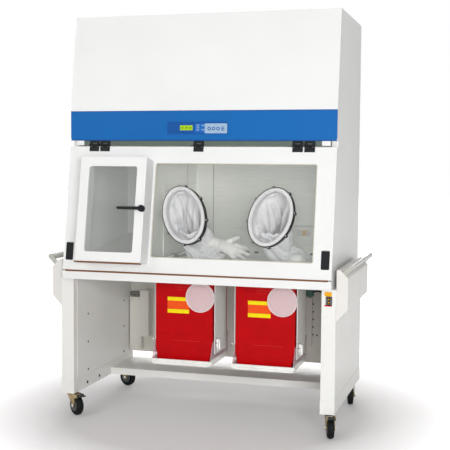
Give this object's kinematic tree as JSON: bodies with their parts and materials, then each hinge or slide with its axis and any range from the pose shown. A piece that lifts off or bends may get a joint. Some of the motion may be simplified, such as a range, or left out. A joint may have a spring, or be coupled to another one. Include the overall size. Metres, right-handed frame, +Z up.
{
  "type": "aseptic containment isolator",
  "caption": "Glove isolator on a height-adjustable wheeled stand, with hinged window panel, pass-through door and docked sharps containers.",
  "frame": {"origin": "middle of the footprint at floor height", "axes": "+X to the operator's right, +Y to the rear, +Z up"},
  "size_m": [1.53, 0.8958, 1.99],
  "materials": {
    "white_enamel": "satin powder coat",
    "blue_enamel": "satin powder coat",
    "grey_enamel": "satin powder coat",
    "stainless": "brushed",
    "zinc": "yellow passivated zinc",
    "tyre_rubber": "matte tread",
    "black_plastic": "satin moulded",
    "white_plastic": "satin moulded",
    "gasket_grey": "matte",
    "clear_pane": "polished clear sheet",
    "clear_guard": "translucent moulded sheet",
    "red_bin": "moulded gloss",
    "cap_frost": "translucent moulded",
    "sleeve_fabric": "soft coated cloth",
    "display_glass": "lit display",
    "overlay_film": "printed film",
    "filter_white": "pleated medium in a frame",
    "cable_black": "matte jacket"
  },
  "bodies": {
    "base": {"foot_beams": "white_enamel", "base_shelf": "white_enamel", "lift_columns": "stainless"},
    "caster_front_left": {"caster_fork_front_left": "zinc"},
    "wheel_front_left": {"caster_wheel_front_left": "tyre_rubber"},
    "brake_front_left": {"brake_pedal_front_left": "black_plastic"},
    "caster_front_right": {"caster_fork_front_right": "zinc"},
    "wheel_front_right": {"caster_wheel_front_right": "tyre_rubber"},
    "brake_front_right": {"brake_pedal_front_right": "black_plastic"},
    "caster_rear_left": {"caster_fork_rear_left": "zinc"},
    "wheel_rear_left": {"caster_wheel_rear_left": "tyre_rubber"},
    "caster_rear_right": {"caster_fork_rear_right": "zinc"},
    "wheel_rear_right": {"caster_wheel_rear_right": "tyre_rubber"},
    "panel": {"window_panel": "white_enamel", "window_glass": "clear_pane", "glove_rings": "white_plastic", "ring_bands": "black_plastic", "window_hinges": "black_plastic", "pass_frame": "white_enamel", "glove_left": "sleeve_fabric", "glove_right": "sleeve_fabric"},
    "door": {"pass_door": "white_enamel", "pass_glass": "clear_pane"},
    "lever": {"door_lever": "black_plastic"},
    "latch_paddle_left": {"latch_left": "black_plastic"},
    "latch_paddle_right": {"latch_right": "black_plastic"},
    "inner_pass_door": {"inner_door": "stainless"},
    "switch_rocker": {"rocker_switch": "black_plastic"},
    "sharps_unit_one": {"sharps_cradle_one": "clear_guard", "sharps_bin_one": "red_bin"},
    "sharps_lid_one": {"sharps_cap_one": "cap_frost"},
    "mouth_cover_one": {"port_cover_one": "stainless"},
    "sharps_unit_two": {"sharps_cradle_two": "clear_guard", "sharps_bin_two": "red_bin"},
    "sharps_lid_two": {"sharps_cap_two": "cap_frost"},
    "mouth_cover_two": {"port_cover_two": "stainless"},
    "fan": {"blower_wheel": "stainless"},
    "carriage": {"base_pan": "white_enamel", "blower_housing": "stainless", "cabinet_shell": "white_enamel", "chamber_liner": "stainless", "control_fascia": "blue_enamel", "control_overlay": "overlay_film", "display": "display_glass", "handle_grips": "grey_enamel", "handle_housings": "grey_enamel", "hinge_brackets": "black_plastic", "hood_shell": "white_enamel", "iv_bar": "stainless", "leg_casing_left": "white_enamel", "leg_casing_right": "white_enamel", "lift_cable": "cable_black", "partition": "stainless", "pass_tray": "stainless", "service_boxes": "grey_enamel", "sharps_hangers": "stainless", "stand_rear_panel": "grey_enamel", "supply_filter": "filter_white", "top_gasket": "gasket_grey", "work_lamp": "white_enamel"}
  },
  "joints": [
    {"name": "stand_lift", "type": "slide", "parent": "base", "child": "carriage", "axis": [0, 0, 1], "range_m": [0, 0.15]},
    {"name": "swivel_front_left", "type": "hinge", "parent": "base", "child": "caster_front_left", "pos_m": [-0.655, -0.2786, 0.12], "axis": [0, 0, 1], "continuous": true},
    {"name": "roll_front_left", "type": "hinge", "parent": "caster_front_left", "child": "wheel_front_left", "pos_m": [-0.62102, -0.30329, 0.05], "axis": [0.5878, 0.809, 0], "continuous": true},
    {"name": "brake_front_left", "type": "hinge", "parent": "caster_front_left", "child": "brake_front_left", "pos_m": [-0.59675, -0.32092, 0.102], "axis": [0.5878, 0.809, 0], "range_deg": [0, 8]},
    {"name": "swivel_front_right", "type": "hinge", "parent": "base", "child": "caster_front_right", "pos_m": [0.655, -0.2786, 0.12], "axis": [0, 0, 1], "continuous": true},
    {"name": "roll_front_right", "type": "hinge", "parent": "caster_front_right", "child": "wheel_front_right", "pos_m": [0.66798, -0.31854, 0.05], "axis": [0.9511, 0.309, 0], "continuous": true},
    {"name": "brake_front_right", "type": "hinge", "parent": "caster_front_right", "child": "brake_front_right", "pos_m": [0.67725, -0.34708, 0.102], "axis": [0.9511, 0.309, 0], "range_deg": [0, 8]},
    {"name": "swivel_rear_left", "type": "hinge", "parent": "base", "child": "caster_rear_left", "pos_m": [-0.655, 0.3714, 0.12], "axis": [0, 0, 1], "continuous": true},
    {"name": "roll_rear_left", "type": "hinge", "parent": "caster_rear_left", "child": "wheel_rear_left", "pos_m": [-0.61553, 0.35704, 0.05], "axis": [0.342, 0.9397, 0], "continuous": true},
    {"name": "swivel_rear_right", "type": "hinge", "parent": "base", "child": "caster_rear_right", "pos_m": [0.655, 0.3714, 0.12], "axis": [0, 0, 1], "continuous": true},
    {"name": "roll_rear_right", "type": "hinge", "parent": "caster_rear_right", "child": "wheel_rear_right", "pos_m": [0.66085, 0.32981, 0.05], "axis": [0.9903, 0.1392, 0], "continuous": true},
    {"name": "panel_hinge", "type": "hinge", "parent": "carriage", "child": "panel", "pos_m": [0, -0.25669, 1.35266], "axis": [-1, 0, 0], "range_deg": [0, 60]},
    {"name": "pass_door_hinge", "type": "hinge", "parent": "panel", "child": "door", "pos_m": [-0.571, -0.38475, 1.04387], "axis": [0, -0.1691, -0.9856], "range_deg": [0, 110]},
    {"name": "door_lever_turn", "type": "hinge", "parent": "door", "child": "lever", "pos_m": [-0.232, -0.40575, 1.05153], "axis": [0, -0.9856, 0.1691], "range_deg": [0, 90]},
    {"name": "latch_left", "type": "hinge", "parent": "panel", "child": "latch_paddle_left", "pos_m": [-0.638, -0.33232, 0.86746], "axis": [-1, 0, 0], "range_deg": [0, 40]},
    {"name": "latch_right", "type": "hinge", "parent": "panel", "child": "latch_paddle_right", "pos_m": [0.638, -0.33232, 0.86746], "axis": [-1, 0, 0], "range_deg": [0, 40]},
    {"name": "inner_door_slide", "type": "slide", "parent": "carriage", "child": "inner_pass_door", "axis": [0, 1, 0], "range_m": [0, 0.24]},
    {"name": "lift_switch_rock", "type": "hinge", "parent": "carriage", "child": "switch_rocker", "pos_m": [0.656, -0.3276, 0.643], "axis": [1, 0, 0], "range_deg": [-6, 6]},
    {"name": "cradle_drop_one", "type": "slide", "parent": "carriage", "child": "sharps_unit_one", "axis": [0, 0, -1], "range_m": [0, 0.04]},
    {"name": "cap_turn_one", "type": "hinge", "parent": "sharps_unit_one", "child": "sharps_lid_one", "pos_m": [0.005, -0.2326, 0.614], "axis": [0, 1, 0], "continuous": true},
    {"name": "port_cover_slide_one", "type": "slide", "parent": "carriage", "child": "mouth_cover_one", "axis": [0, 1, 0], "range_m": [0, 0.18]},
    {"name": "cradle_drop_two", "type": "slide", "parent": "carriage", "child": "sharps_unit_two", "axis": [0, 0, -1], "range_m": [0, 0.04]},
    {"name": "cap_turn_two", "type": "hinge", "parent": "sharps_unit_two", "child": "sharps_lid_two", "pos_m": [0.415, -0.2326, 0.614], "axis": [0, 1, 0], "continuous": true},
    {"name": "port_cover_slide_two", "type": "slide", "parent": "carriage", "child": "mouth_cover_two", "axis": [0, 1, 0], "range_m": [0, 0.18]},
    {"name": "blower_spin", "type": "hinge", "parent": "carriage", "child": "fan", "pos_m": [0, 0.1014, 1.75], "axis": [1, 0, 0], "continuous": true}
  ]
}
